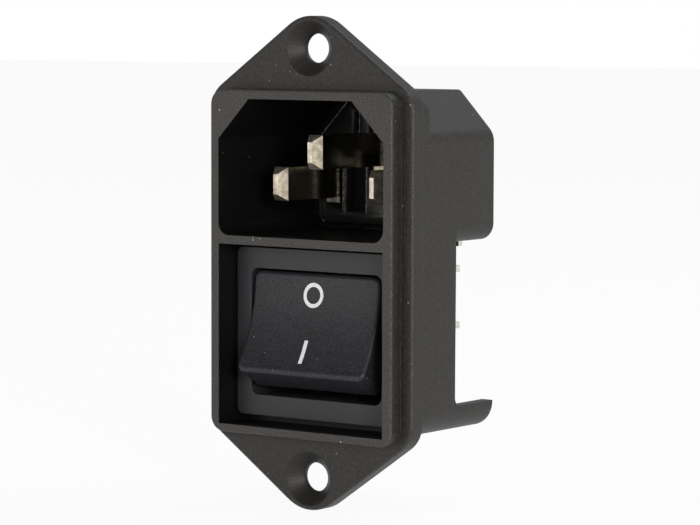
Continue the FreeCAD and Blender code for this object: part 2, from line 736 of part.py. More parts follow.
# Rocker, drawn square with its hinge line at the origin
def make_rocker_moulding():
    body = new_body("rocker_body")
    profile = [
        ("-face_reach", f"-{FACE_HALF}"),
        ("-face_reach", FACE_HALF),
        ("-skirt_setback", SKIRT_HALF),
        ("-skirt_setback", f"-{SKIRT_HALF}"),
    ]
    sketch = new_sketch(body, "rocker_profile", "YZ_Plane", f"-{ROCKER_HALF}")
    draw_polygon(sketch, profile, arc_radius="face_radius")
    add_feature(body, "PartDesign::Pad", sketch, f"2 * {ROCKER_HALF}", True)

    side, end = value(ROCKER_HALF), value(FACE_HALF)
    depth = value("face_reach - skirt_setback")
    deepest = value(f"{FACE_SAGITTA} - face_reach")

    def corner_edges(edge):
        box = edge.BoundBox
        outer = abs(abs(box.Center.x) - side) < 0.01 and abs(box.Center.z) > end
        return outer and abs(box.YLength - depth) < 0.01

    def front_edges(edge):
        return edge.BoundBox.YMax < deepest + 0.01

    round_edges(body, "rocker_corners", "rocker_corner", corner_edges)
    round_edges(body, "rocker_front_edges", "rocker_edge", front_edges)

    hollow_start = f"({FACE_SAGITTA} + face_thickness - face_reach)"
    hollow = box_corners(f"({ROCKER_HALF} - rocker_wall)", f"skirt_end_wall - {FACE_HALF}",
                         f"{FACE_HALF} - skirt_end_wall")
    pocket = new_sketch(body, "rocker_hollow", "XZ_Plane", f"-{hollow_start}")
    draw_polygon(pocket, hollow)
    add_feature(body, "PartDesign::Pocket", pocket, f"-{hollow_start}", False)
    return body, hollow_start


def make_rocker():
    body, hollow_start = make_rocker_moulding()
    pieces = [body]
    for name, sign in (("left", "-1"), ("right", "1")):
        inner = f"({ROCKER_HALF} - rocker_wall)"
        low_x = inner if sign == "1" else f"-{ROCKER_HALF}"
        high_x = ROCKER_HALF if sign == "1" else f"-{inner}"
        lobe_block = block(f"{name}_lobe_block", (low_x, "-skirt_setback", "-lobe_radius"),
                           (high_x, "0", "lobe_radius"))
        lobe = doc.addObject("Part::Cylinder", f"{name}_lobe")
        lobe.Placement = Placement(Vector(), Rotation(Vector(0, 1, 0), 90))
        bind(lobe, Radius="lobe_radius", Height="rocker_wall", Placement__Base__x=low_x)
        trunnion = doc.addObject("Part::Cylinder", f"{name}_trunnion")
        trunnion.Placement = Placement(Vector(), Rotation(Vector(0, 1, 0), 90))
        start = ROCKER_HALF if sign == "1" else f"-({ROCKER_HALF} + trunnion_length)"
        bind(trunnion, Radius="trunnion_diameter / 2", Height="trunnion_length",
             Placement__Base__x=start)
        tube = rod_y(f"{name}_tube", f"{sign} * pole_spacing / 2", "0",
                     "plunger_diameter + 2 * plunger_clearance + 2 * tube_wall", hollow_start,
                     "tube_end")
        pieces += [lobe_block, lobe, trunnion, tube]
    solid = fuse("rocker_with_tubes", pieces)
    bores = []
    for name, sign in (("left", "-1"), ("right", "1")):
        bores.append(rod_y(f"{name}_tube_bore", f"{sign} * pole_spacing / 2", "0",
                           "plunger_diameter + 2 * plunger_clearance", "-tube_bottom",
                           "tube_end"))
    return node(tilt(cut("rocker_solid", solid, bores)), "rocker")


# One plunger: a cup with a round tip, drawn at its retracted place
def make_plunger(name, side):
    across = f"{side} * pole_spacing / 2"
    tip_y = "(plunger_reach - plunger_travel)"
    barrel_end = f"({tip_y} - plunger_diameter / 2 + plunger_tip)"
    barrel = rod_y(f"{name}_barrel", across, "0", "plunger_diameter",
                   "-plunger_back", barrel_end)
    nose = doc.addObject("Part::Cone", f"{name}_nose")
    nose.Placement = Placement(Vector(), Rotation(Vector(1, 0, 0), -90))
    bind(nose, Radius1="plunger_diameter / 2", Radius2="plunger_tip",
         Height="plunger_diameter / 2 - plunger_tip",
         Placement__Base__x=across, Placement__Base__y=barrel_end)
    ball = doc.addObject("Part::Sphere", f"{name}_ball")
    bind(ball, Radius="plunger_tip", Placement__Base__x=across, Placement__Base__y=tip_y)
    cup = rod_y(f"{name}_cup", across, "0", "plunger_cup", "-plunger_back",
                "plunger_cup_depth - plunger_back")
    solid = cut(f"{name}_solid", fuse(f"{name}_outside", [barrel, nose, ball]), [cup])
    return node(tilt(solid), name)


# One coil spring, from the bottom of the rocker's tube to the bottom of the plunger's cup
def make_spring(name, side):
    upright = Rotation(Vector(1, 0, 0), -90)
    mean = "(spring_diameter - spring_wire) / 2"
    start = "-tube_bottom + spring_wire / 2 + spring_gap"
    length = "(plunger_cup_depth - plunger_back + tube_bottom - spring_wire - 2 * spring_gap)"
    spine = doc.addObject("Part::Helix", f"{name}_spine")
    spine.Placement = Placement(Vector(), upright)
    bind(spine, Pitch="spring_pitch", Height=length, Radius=mean,
         Placement__Base__x=f"{side} * pole_spacing / 2", Placement__Base__y=start)
    wire = doc.addObject("Part::Circle", f"{name}_wire")
    bind(wire, Radius="spring_wire / 2", Placement__Base__y=start,
         Placement__Base__x=f"{side} * pole_spacing / 2 + {mean}")
    coil = doc.addObject("Part::Sweep", f"{name}_coil")
    coil.Sections = [wire]
    coil.Spine = (spine, [])
    coil.Solid = True
    coil.Frenet = True
    return node(tilt(coil), name)


def rock(thing, side):
    """Put a piece that was drawn about the knife edge at its place and rest tilt."""
    thing.Placement = Placement(Vector(), Rotation(Vector(1, 0, 0), value("arm_tilt")))
    bind(thing, Placement__Base__x=f"{side} * pole_spacing / 2", Placement__Base__y=KNIFE_Y,
         Placement__Base__z="-switch_drop", Placement__Rotation__Angle="arm_tilt * 1 deg")
    return thing


# One rocking contact: a flat arm with a silver contact riveted at its upper end
def make_contact_arm(name, side):
    arm = block(f"{name}_plate", ("-arm_width / 2", "-arm_thickness", "-arm_lower"),
                ("arm_width / 2", "0", "contact_offset + contact_diameter / 2"))
    hole = rod_y(f"{name}_hole", "0", "contact_offset",
                 "shank_diameter + 2 * shank_clearance", "-arm_thickness", "0")
    node(rock(cut(f"{name}_solid", arm, [hole]), side), name)


def make_moving_contact(name, side):
    head = rod_y(f"{name}_head", "0", "contact_offset", "contact_diameter",
                 "0", "contact_height")
    shank = rod_y(f"{name}_shank", "0", "contact_offset", "shank_diameter",
                  "-arm_thickness", "0")
    node(rock(fuse(f"{name}_solid", [head, shank]), side), name)


# Common terminal: a straight tab whose inner end is the knife edge
def make_common_terminal(name, side):
    body = new_body(f"{name}_body")
    edge = f"{KNIFE_Y} + shank_clearance"
    profile = [
        (edge, "-switch_drop"),
        (f"{edge} + knife_length", f"{COMMON_Z} + tab_thickness / 2"),
        (TAB_END, f"{COMMON_Z} + tab_thickness / 2"),
        (TAB_END, f"{COMMON_Z} - tab_thickness / 2"),
        (f"{edge} + knife_length", f"{COMMON_Z} - tab_thickness / 2"),
    ]
    centre = f"{side} * pole_spacing / 2"
    sketch = new_sketch(body, f"{name}_profile", "YZ_Plane", f"{centre} - tab_width / 2")
    draw_polygon(sketch, profile)
    add_feature(body, "PartDesign::Pad", sketch, "tab_width", True)
    place = new_sketch(body, f"{name}_hole", "XY_Plane", f"{COMMON_Z} + tab_thickness / 2")
    draw_circle(place, centre, f"{TAB_END} - tab_hole_margin", "tab_hole")
    add_feature(body, "PartDesign::Pocket", place, "tab_thickness", False)
    node(body, name)


# Fixed terminal: a tab whose inner end is bent down behind the rocking contact
def make_fixed_terminal(name, side):
    body = new_body(f"{name}_body")
    top = f"({FIXED_Z} + tab_thickness / 2)"
    foot = "-switch_drop + contact_offset - contact_diameter / 2"
    profile = [
        (FIXED_PLATE_Y, foot),
        (f"{FIXED_PLATE_Y} + tab_thickness", foot),
        (f"{FIXED_PLATE_Y} + tab_thickness", f"{top} - tab_thickness"),
        (TAB_END, f"{top} - tab_thickness"),
        (TAB_END, top),
        (FIXED_PLATE_Y, top),
    ]
    centre = f"{side} * pole_spacing / 2"
    sketch = new_sketch(body, f"{name}_profile", "YZ_Plane", f"{centre} - tab_width / 2")
    draw_polygon(sketch, profile)
    add_feature(body, "PartDesign::Pad", sketch, "tab_width", True)
    bore_y(body, f"{name}_rivet_hole", centre, "-switch_drop + contact_offset",
           "shank_diameter + 2 * shank_clearance", FIXED_PLATE_Y,
           f"{FIXED_PLATE_Y} + tab_thickness")
    place = new_sketch(body, f"{name}_hole", "XY_Plane", top)
    draw_circle(place, centre, f"{TAB_END} - tab_hole_margin", "tab_hole")
    add_feature(body, "PartDesign::Pocket", place, "tab_thickness", False)
    node(body, name)


def make_fixed_contact(name, side):
    across = f"{side} * pole_spacing / 2"
    height = "-switch_drop + contact_offset"
    head = rod_y(f"{name}_head", across, height, "contact_diameter", CONTACT_Y, FIXED_PLATE_Y)
    shank = rod_y(f"{name}_shank", across, height, "shank_diameter", FIXED_PLATE_Y,
                  f"{FIXED_PLATE_Y} + tab_thickness")
    node(fuse(f"{name}_solid", [head, shank]), name)


make_housing()
make_carrier()
make_pin("line_pin", f"-{PIN_X}", PIN_Z, "pin_setback")
make_pin("neutral_pin", PIN_X, PIN_Z, "pin_setback")
make_pin("earth_pin", "0", EARTH_Z, "earth_setback")
make_lug("line_tab", "-1")
make_lug("neutral_tab", "1")
make_earth_tab()
make_switch_frame()
make_rocker()
for hand, sign in (("left", "-1"), ("right", "1")):
    make_plunger(f"{hand}_plunger", sign)
    make_spring(f"{hand}_spring", sign)
    make_contact_arm(f"{hand}_contact_arm", sign)
    make_moving_contact(f"{hand}_moving_contact", sign)
    make_common_terminal(f"{hand}_common_terminal", sign)
    make_fixed_terminal(f"{hand}_fixed_terminal", sign)
    make_fixed_contact(f"{hand}_fixed_contact", sign)
doc.recompute()

for thing in doc.Objects:
    if any(word in thing.State for word in ("Invalid", "Error")):
        raise RuntimeError(f"{thing.Name} has the state {thing.State}")
for piece in nodes:
    if piece.Shape.isNull() or not piece.Shape.isValid():
        raise RuntimeError(f"{piece.Label} has no valid shape")
for piece in nodes:
    piece.Shape.exportStep(f"parts/{piece.Label}.step")
    print(f"{piece.Label}: {len(piece.Shape.Solids)} solid, {piece.Shape.Volume:.2f} mm3")
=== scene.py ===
# %% [markdown]
# # A panel inlet with a rocker switch
# The part is one dark moulding with a socket above and a rocker switch below. Three flat blades
# stand in the socket, and the switch has sprung contacts inside it. The exact shapes come
# ready-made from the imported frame, so this lesson is about finishes, small details and light.

# %% Load the frame
import bmesh
import bpy
import json
import math
from mathutils import Matrix, Vector

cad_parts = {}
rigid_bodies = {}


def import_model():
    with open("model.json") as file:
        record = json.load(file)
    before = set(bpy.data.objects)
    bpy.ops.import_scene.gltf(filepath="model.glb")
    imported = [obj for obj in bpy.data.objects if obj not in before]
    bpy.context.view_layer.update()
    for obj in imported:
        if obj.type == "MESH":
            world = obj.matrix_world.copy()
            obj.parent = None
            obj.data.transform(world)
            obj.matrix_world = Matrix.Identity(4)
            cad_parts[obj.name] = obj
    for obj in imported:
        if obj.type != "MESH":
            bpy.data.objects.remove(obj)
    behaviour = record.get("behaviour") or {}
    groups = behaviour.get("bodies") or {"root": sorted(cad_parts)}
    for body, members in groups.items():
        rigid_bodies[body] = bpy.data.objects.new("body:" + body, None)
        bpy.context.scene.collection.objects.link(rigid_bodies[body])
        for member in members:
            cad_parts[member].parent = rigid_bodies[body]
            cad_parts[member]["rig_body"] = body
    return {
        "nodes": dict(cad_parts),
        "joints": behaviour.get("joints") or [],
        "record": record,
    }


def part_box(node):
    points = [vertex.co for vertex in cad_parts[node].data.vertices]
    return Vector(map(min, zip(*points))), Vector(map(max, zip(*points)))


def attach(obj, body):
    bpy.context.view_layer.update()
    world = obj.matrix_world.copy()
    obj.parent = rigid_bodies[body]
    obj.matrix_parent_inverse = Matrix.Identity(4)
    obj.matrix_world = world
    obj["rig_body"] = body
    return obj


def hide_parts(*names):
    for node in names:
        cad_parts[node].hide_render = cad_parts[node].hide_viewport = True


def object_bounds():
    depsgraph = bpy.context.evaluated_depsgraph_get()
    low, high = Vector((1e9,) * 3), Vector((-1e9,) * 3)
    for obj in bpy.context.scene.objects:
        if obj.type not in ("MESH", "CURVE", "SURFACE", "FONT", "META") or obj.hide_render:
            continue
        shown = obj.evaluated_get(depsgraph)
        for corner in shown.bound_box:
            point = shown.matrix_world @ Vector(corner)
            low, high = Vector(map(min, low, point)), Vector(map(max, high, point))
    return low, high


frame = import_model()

cad_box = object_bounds()
MM = 0.001
nodes = frame["nodes"]
body_of = {name: node["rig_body"] for name, node in nodes.items()}
slot_of = {part["node"]: part["material_slot"] for part in frame["record"]["subparts"]}

# %% [markdown]
# ## Camera
# The photograph was taken with a long lens from the front right, a little above. The place of
# the camera was worked out from corners whose size is known. A camera looks along its own -Z, so
# the three columns of its matrix are its right, its up and the direction back from the object.

# %% Place the camera
AZIMUTH, ELEVATION, ROLL = (math.radians(a) for a in (36.48, 4.525, 0.161))
DISTANCE, ASIDE, ABOVE = 354.03, 3.529, 0.112
FOCAL_PIXELS, PICTURE_WIDTH, SENSOR = 3041.6, 700, 36
back = Vector((math.sin(AZIMUTH) * math.cos(ELEVATION),
               -math.cos(AZIMUTH) * math.cos(ELEVATION), math.sin(ELEVATION)))
level = Vector((math.cos(AZIMUTH), math.sin(AZIMUTH), 0))
rise = level.cross(-back)
right = level * math.cos(ROLL) + rise * math.sin(ROLL)
up = rise * math.cos(ROLL) - level * math.sin(ROLL)
camera = bpy.data.objects.new("camera", bpy.data.cameras.new("camera"))
bpy.context.collection.objects.link(camera)
place = (back * DISTANCE + right * ASIDE + up * ABOVE) * MM
camera.matrix_world = Matrix.Translation(place) @ Matrix((right, up, back)).transposed().to_4x4()
camera.data.sensor_width = SENSOR
camera.data.lens = FOCAL_PIXELS / PICTURE_WIDTH * SENSOR
camera.data.clip_start = 0.01
bpy.context.scene.camera = camera
print("camera at", [round(v, 4) for v in place], "lens", round(camera.data.lens, 1))

# %% [markdown]
# ## Light and background
# Dark plastic shows little colour of its own. What the eye reads is the pale room that it
# reflects, so the room is plain: bright at the horizon and dimmer towards the top. Three soft
# lamps shape the part: a warm one from the right, a weaker warm one from the front left and a
# cool one from above and behind. The floor is white to the camera, and mixing in some real
# diffuse keeps the object's shadow on it.

# %% Two helpers for every node tree
def add_node(tree, kind, sockets=None, **settings):
    """Add a node. Each named input is filled with a value or linked from another socket."""
    node = tree.nodes.new(kind)
    for name, setting in settings.items():
        setattr(node, name, setting)
    for name, source in (sockets or {}).items():
        if isinstance(source, bpy.types.NodeSocket):
            tree.links.new(source, node.inputs[name])
        else:
            node.inputs[name].default_value = source
    return node


def maths(tree, operation, first, second=0):
    """One step of arithmetic on values or sockets. Some operations need only the first."""
    return add_node(tree, "ShaderNodeMath", {0: first, 1: second}, operation=operation).outputs[0]


print("helpers ready")

# %% Build the room
HORIZON, ZENITH, FADE_END = 0.9, 0.14, 0.7
scene = bpy.context.scene
scene.view_settings.view_transform = "Standard"
world = bpy.data.worlds.new("room")
scene.world = world
world.use_nodes = True
sky = world.node_tree
sky.nodes.clear()
seen = add_node(sky, "ShaderNodeLightPath").outputs["Is Camera Ray"]
towards = add_node(sky, "ShaderNodeSeparateXYZ",
                   {0: add_node(sky, "ShaderNodeTexCoord").outputs["Generated"]}).outputs["Z"]
fade = add_node(sky, "ShaderNodeMapRange", {"Value": towards, "From Min": 0.0,
                "From Max": FADE_END, "To Min": HORIZON, "To Max": ZENITH})
room = add_node(sky, "ShaderNodeBackground",
                {"Color": (1, 1, 1, 1), "Strength": fade.outputs["Result"]})
white = add_node(sky, "ShaderNodeBackground", {"Color": (1, 1, 1, 1), "Strength": 1.0})
choose = add_node(sky, "ShaderNodeMixShader", {0: seen, 1: room.outputs[0], 2: white.outputs[0]})
add_node(sky, "ShaderNodeOutputWorld", {"Surface": choose.outputs[0]})
print("room:", HORIZON, "bright at the horizon and", ZENITH, "at the top")

# %% Set the lamps
WARM, COOL = (1.0, 0.97, 0.93), (0.92, 0.96, 1.0)


def soft_lamp(name, place, size, power, colour):
    """A square lamp that looks at the middle of the part."""
    lamp = bpy.data.objects.new(name, bpy.data.lights.new(name, "AREA"))
    bpy.context.collection.objects.link(lamp)
    lamp.data.size = size
    lamp.data.energy = power
    lamp.data.color = colour
    lamp.location = place
    lamp.rotation_euler = Vector(place).to_track_quat("Z", "Y").to_euler()


soft_lamp("key_lamp", (0.48, -0.345, 0.11), size=0.15, power=1.8, colour=WARM)
soft_lamp("fill_lamp", (-0.25, -0.6, -0.01), size=0.3, power=0.7, colour=WARM)
soft_lamp("back_lamp", (0.15, 0.25, 0.5), size=0.4, power=1.5, colour=COOL)

# %% Lay the floor
base = cad_box[0][2]
FLOOR_REACH, PAPER, GLOW_SHARE = 3.0, 0.9, 0.94
floor_mesh = bpy.data.meshes.new("floor")
floor_mesh.from_pydata([(x * FLOOR_REACH, y * FLOOR_REACH, base)
                        for x, y in ((-1, -1), (1, -1), (1, 1), (-1, 1))], [], [(0, 1, 2, 3)])
floor = bpy.data.objects.new("floor", floor_mesh)
bpy.context.collection.objects.link(floor)
paper = bpy.data.materials.new("white_paper")
paper.use_nodes = True
tree = paper.node_tree
tree.nodes.clear()
rays = add_node(tree, "ShaderNodeLightPath").outputs
seen = maths(tree, "MAXIMUM", rays["Is Camera Ray"], rays["Is Glossy Ray"])
diffuse = add_node(tree, "ShaderNodeBsdfDiffuse", {"Color": (PAPER, PAPER, PAPER, 1)})
glow = add_node(tree, "ShaderNodeEmission", {"Color": (1, 1, 1, 1), "Strength": 1.0})
share = maths(tree, "MULTIPLY", seen, GLOW_SHARE)
mix = add_node(tree, "ShaderNodeMixShader", {0: share, 1: diffuse.outputs[0], 2: glow.outputs[0]})
add_node(tree, "ShaderNodeOutputMaterial", {"Surface": mix.outputs[0]})
floor_mesh.materials.append(paper)
print("floor at", round(base, 5))

# %% [markdown]
# ## Effects that several finishes share
# A shader node group is a small machine with named inputs and outputs. Each group below puts out
# only numbers between about 0 and 1.5, which a finish then uses as tone, roughness or height.
# They all read object coordinates, which are metres here, so a noise scale of 7000 has features
# of about a seventh of a millimetre. Most values of a noise lie in a span round its middle, and
# that span is what gets stretched.

# %% A frame for node groups
def new_group(name, inputs, outputs):
    """An empty shader group with float sockets. Returns it, what it is given and its results."""
    group = bpy.data.node_groups.new(name, "ShaderNodeTree")
    for label, start in inputs.items():
        socket = group.interface.new_socket(name=label, in_out="INPUT",
                                            socket_type="NodeSocketFloat")
        socket.default_value = start
    for label in outputs:
        group.interface.new_socket(name=label, in_out="OUTPUT", socket_type="NodeSocketFloat")
    given = add_node(group, "NodeGroupInput").outputs
    return group, given, add_node(group, "NodeGroupOutput").inputs


NOISE_SPAN = (0.3, 0.7)


def remap(tree, source, low, high, new_low, new_high):
    """Stretch a range of values to another range."""
    return add_node(tree, "ShaderNodeMapRange", {"Value": source, "From Min": low,
                    "From Max": high, "To Min": new_low, "To Max": new_high}).outputs["Result"]


def noise(tree, coordinates, scale, detail=2.0):
    """Soft random values from 0 to 1."""
    return add_node(tree, "ShaderNodeTexNoise", {"Vector": coordinates, "Scale": scale,
                    "Detail": detail}).outputs["Fac"]


print("group tools ready")

# %% [markdown]
# ### Moulded skin
# A moulded face carries the fine grain of the steel mould. Glass fibres near the surface add
# small light and dark grains, and the melt leaves faint clouds a few millimetres wide.

# %% Make the moulded skin
skin, given, result = new_group("moulded_skin", {"Grain": 7000.0, "Contrast": 0.3},
                                ["Tone", "Roughness", "Height"])
where = add_node(skin, "ShaderNodeTexCoord").outputs["Object"]
CLOUD_SCALE, CLOUD_TONES, GRAIN_ROUGHNESS = 160.0, (0.93, 1.07), (0.9, 1.1)
grain = noise(skin, where, given["Grain"], 3.0)
cloud = noise(skin, where, CLOUD_SCALE)
spread = maths(skin, "MULTIPLY", remap(skin, grain, *NOISE_SPAN, -1, 1), given["Contrast"])
clouded = remap(skin, cloud, *NOISE_SPAN, *CLOUD_TONES)
skin.links.new(maths(skin, "ADD", spread, clouded), result["Tone"])
skin.links.new(remap(skin, grain, *NOISE_SPAN, *GRAIN_ROUGHNESS), result["Roughness"])
skin.links.new(grain, result["Height"])
print(skin.name, len(skin.nodes), "nodes")

# %% [markdown]
# ### Dust specks
# The photograph shows a sprinkle of tiny pale specks on every outer face. A Voronoi texture cuts
# space into cells, and a speck is the small ball round the middle of some of them.

# %% Make the dust
dust, given, result = new_group("dust_specks", {"Density": 1000.0, "Share": 0.35}, ["Mask"])
where = add_node(dust, "ShaderNodeTexCoord").outputs["Object"]
SMALLEST_SPECK, LARGEST_SPECK = 0.02, 0.08
cells = add_node(dust, "ShaderNodeTexVoronoi",
                 {"Vector": where, "Scale": given["Density"], "Randomness": 1.0})
parts = add_node(dust, "ShaderNodeSeparateColor", {"Color": cells.outputs["Color"]})
size = remap(dust, parts.outputs["Green"], 0, 1, SMALLEST_SPECK, LARGEST_SPECK)
near = maths(dust, "LESS_THAN", cells.outputs["Distance"], size)
chosen = maths(dust, "LESS_THAN", parts.outputs["Red"], given["Share"])
dust.links.new(maths(dust, "MULTIPLY", near, chosen), result["Mask"])
print(dust.name, len(dust.nodes), "nodes")

# %% [markdown]
# ### Drawn metal
# Blades, tabs and wire are rolled or drawn, so their marks run in long fine lines along the
# metal. Squeezing the coordinates along Y stretches a noise into such lines.

# %% Make the drawn metal
drawn, given, result = new_group("drawn_metal", {"Fineness": 9000.0},
                                 ["Tone", "Roughness", "Height"])
where = add_node(drawn, "ShaderNodeTexCoord").outputs["Object"]
SQUEEZE, LINE_TONES = (1.0, 0.03, 1.0), (0.92, 1.04)
STAIN_SCALE, STAIN_SPAN = 900.0, (0.3, 0.75)
STAIN_TONES, STAIN_ROUGHNESS = (1.02, 0.84), (0.85, 1.5)
flow = add_node(drawn, "ShaderNodeVectorMath", {0: where, 1: SQUEEZE},
                operation="MULTIPLY").outputs[0]
lines = noise(drawn, flow, given["Fineness"], 3.0)
stain = noise(drawn, where, STAIN_SCALE, 3.0)
tone = maths(drawn, "MULTIPLY", remap(drawn, lines, *NOISE_SPAN, *LINE_TONES),
             remap(drawn, stain, *STAIN_SPAN, *STAIN_TONES))
drawn.links.new(tone, result["Tone"])
drawn.links.new(remap(drawn, stain, *STAIN_SPAN, *STAIN_ROUGHNESS), result["Roughness"])
drawn.links.new(lines, result["Height"])
print(drawn.name, len(drawn.nodes), "nodes")

# %% [markdown]
# ## Finishes
# Each finish is one Principled shader. Its colour and roughness are multiplied by what the groups
# put out, and a bump turns the grain into relief a hundredth of a millimetre high, or less.

# %% A frame for finishes
def new_finish(name):
    """A material with one Principled shader. Returns the material, its tree and the shader."""
    material = bpy.data.materials.new(name)
    material.use_nodes = True
    tree = material.node_tree
    tree.nodes.clear()
    shader = add_node(tree, "ShaderNodeBsdfPrincipled")
    add_node(tree, "ShaderNodeOutputMaterial", {"Surface": shader.outputs[0]})
    return material, tree, shader


def tinted(tree, colour, tone):
    """A colour made lighter or darker by a tone."""
    return add_node(tree, "ShaderNodeVectorMath", {0: colour, "Scale": tone},
                    operation="SCALE").outputs[0]


def mixed(tree, share, first, second):
    """A blend of two colours."""
    return add_node(tree, "ShaderNodeMix", {"Factor": share, 6: first, 7: second},
                    data_type="RGBA").outputs[2]


def relief(tree, height, depth):
    """A bump of a given depth in metres."""
    return add_node(tree, "ShaderNodeBump", {"Height": height, "Strength": 1.0,
                    "Distance": depth}).outputs[0]


print("finish tools ready")

# %% [markdown]
# ### Dark plastics
# Housing, insulator, switch and rocker are four plastics of one family. They differ in tint, in
# how fine the mould's grain is and in how much they shine. One function makes all of them. The
# insulator's small chamfers that face left and the thin ribs beside the blades get painted
# highlights, pale colour where their edges catch the light, so those have finishes of their own.

# %% Make the plastics
def plastic(name, colour, roughness, grain=7000.0, contrast=0.3, depth=0.00001, dusty=0.35,
            gloss=0.36):
    """A moulded plastic with grain, clouds and a few specks of dust."""
    material, tree, shader = new_finish(name)
    skinned = add_node(tree, "ShaderNodeGroup", node_tree=skin)
    skinned.inputs["Grain"].default_value = grain
    skinned.inputs["Contrast"].default_value = contrast
    speckled = add_node(tree, "ShaderNodeGroup", node_tree=dust)
    speckled.inputs["Share"].default_value = dusty
    base_colour = tinted(tree, colour, skinned.outputs["Tone"])
    dusted = mixed(tree, speckled.outputs["Mask"], base_colour, DUST_COLOUR)
    rough = maths(tree, "MULTIPLY", skinned.outputs["Roughness"], roughness)
    tree.links.new(dusted, shader.inputs["Base Color"])
    tree.links.new(rough, shader.inputs["Roughness"])
    tree.links.new(relief(tree, skinned.outputs["Height"], depth), shader.inputs["Normal"])
    shader.inputs["Specular IOR Level"].default_value = gloss
    return material, tree, shader


DUST_COLOUR = (0.32, 0.31, 0.3, 1)
switch_plastic = plastic("switch_plastic", (0.0275, 0.027, 0.031), 0.42, grain=5000.0,
                         depth=0.000006)[0]
rocker_plastic = plastic("rocker_plastic", (0.0205, 0.0205, 0.0245), 0.45, grain=4500.0,
                         contrast=0.7, depth=0.000008)[0]
nylon = plastic("white_nylon", (0.62, 0.6, 0.55), 0.4, grain=6000.0, contrast=0.06,
                depth=0.000006, dusty=0.0, gloss=0.5)[0]
insulator = plastic("insulator", (0.02, 0.02, 0.019), 0.3, grain=5000.0, contrast=0.2,
                    depth=0.000004, dusty=0.1, gloss=0.26)[0]
# Painted highlight: pale colour for the insulator's small chamfers that face left.
chamfer_highlight = plastic("painted_chamfer_highlights", (0.8, 0.79, 0.78), 0.4, grain=3000.0, contrast=0.9,
                  depth=0.000006, dusty=0.0)[0]
# Painted highlight: a paler tone on the fronts of the narrow ribs beside the blades.
rib_highlight = plastic("painted_rib_highlights", (0.085, 0.084, 0.08), 0.4, grain=3000.0, contrast=0.9,
                     depth=0.000006, dusty=0.0)[0]
for made in (switch_plastic, rocker_plastic, nylon, insulator, chamfer_highlight, rib_highlight):
    print("plastic:", made.name, len(made.node_tree.nodes), "nodes")

# %% [markdown]
# ### Housing plastic
# Outside, the housing is grained. Its raised face stands proud, and there the grain is made paler.
# The rounded front edge of the flange carries a painted highlight, a pale band along its fillet. In
# the screw countersinks the cutter that made the mould left fine turned lines, which run down the
# cone. Masks from object coordinates mark all three. Inside the socket and the switch recess the
# plastic is painted near black as shade, which is a finish of its own.

# %% Make the housing plastic
HOUSING = (0.0225, 0.0208, 0.0192)
PROUD, PROUD_FADE, PROUD_TONE = -3.6 * MM, 0.3 * MM, 2.1
# From the flange's front face back to the end of its front fillet the colour is painted paler: a
# painted highlight.
HIGHLIGHT_FRONT, HIGHLIGHT_BACK, HIGHLIGHT_FADE, HIGHLIGHT_TONE = -2.08 * MM, -1.7 * MM, 0.1 * MM, 1.8
housing_plastic, tree, shader = plastic("housing_plastic", HOUSING, 0.5, grain=5500.0,
                                        contrast=0.8)
axes = add_node(tree, "ShaderNodeSeparateXYZ",
                {0: add_node(tree, "ShaderNodeTexCoord").outputs["Object"]})
across, depth, height = axes.outputs
plain_colour = shader.inputs["Base Color"].links[0].from_socket
proud = remap(tree, depth, PROUD, PROUD - PROUD_FADE, 1.0, PROUD_TONE)
# Painted highlight along the flange's rounded front edge.
painted_highlight = maths(tree, "MULTIPLY",
               remap(tree, depth, HIGHLIGHT_FRONT, HIGHLIGHT_FRONT + HIGHLIGHT_FADE, 1.0, HIGHLIGHT_TONE),
               remap(tree, depth, HIGHLIGHT_BACK - HIGHLIGHT_FADE, HIGHLIGHT_BACK, 1.0, 0.0))
paler = tinted(tree, plain_colour, maths(tree, "MAXIMUM", proud, painted_highlight))
print("housing: raised face", PROUD_TONE, "times and rubbed edge", HIGHLIGHT_TONE, "times as pale")

# %% Turn fine lines in the countersinks
HOLE_UP, CONE_RADIUS = 25.0 * MM, 3.3 * MM
TURNED_LINES, TURNED_SCALE, TURNED_TONES = 9.0, 2.5, (0.2, 1.3)
rise_from_hole = maths(tree, "SUBTRACT", maths(tree, "ABSOLUTE", height), HOLE_UP)
square = maths(tree, "ADD", maths(tree, "POWER", across, 2.0),
               maths(tree, "POWER", rise_from_hole, 2.0))
in_cone = maths(tree, "LESS_THAN", square, CONE_RADIUS ** 2)
angle = maths(tree, "ARCTAN2", rise_from_hole, across)
turned = add_node(tree, "ShaderNodeTexNoise", {
    "W": maths(tree, "MULTIPLY", angle, TURNED_LINES), "Scale": TURNED_SCALE,
    "Detail": 3.0}, noise_dimensions="1D").outputs["Fac"]
cone_colour = tinted(tree, HOUSING, remap(tree, turned, *NOISE_SPAN, *TURNED_TONES))
tree.links.new(mixed(tree, in_cone, paler, cone_colour), shader.inputs["Base Color"])
print(housing_plastic.name, len(tree.nodes), "nodes")

# %% Paint the cavity's shade
# Painted shade: the walls of the socket and the switch recess are coloured near black.
cavity = plastic("painted_cavity_shade", (0.0045, 0.0045, 0.0045), 0.42, grain=5500.0, contrast=0.2,
                 depth=0.000004, dusty=0.1, gloss=0.22)[0]
print(cavity.name, len(cavity.node_tree.nodes), "nodes")

# %% [markdown]
# ### Metals
# The blades are brass with a nickel skin, which looks a little warm. Their sides are polished and
# mirror the dark socket, while the cut tips are matt and catch the light. Tabs and terminals are
# tinned brass, the springs are hard steel wire and the contacts are silver that has greyed.

# %% A tool for the metals
def metal(name, colour, roughness, fineness=9000.0, depth=0.000004):
    """A rolled or drawn metal with lines along Y and faint stains."""
    material, tree, shader = new_finish(name)
    lined = add_node(tree, "ShaderNodeGroup", node_tree=drawn)
    lined.inputs["Fineness"].default_value = fineness
    tree.links.new(tinted(tree, colour, lined.outputs["Tone"]), shader.inputs["Base Color"])
    tree.links.new(maths(tree, "MULTIPLY", lined.outputs["Roughness"], roughness),
                   shader.inputs["Roughness"])
    tree.links.new(relief(tree, lined.outputs["Height"], depth), shader.inputs["Normal"])
    shader.inputs["Metallic"].default_value = 1.0
    return material, tree, shader


print("metal tool ready")

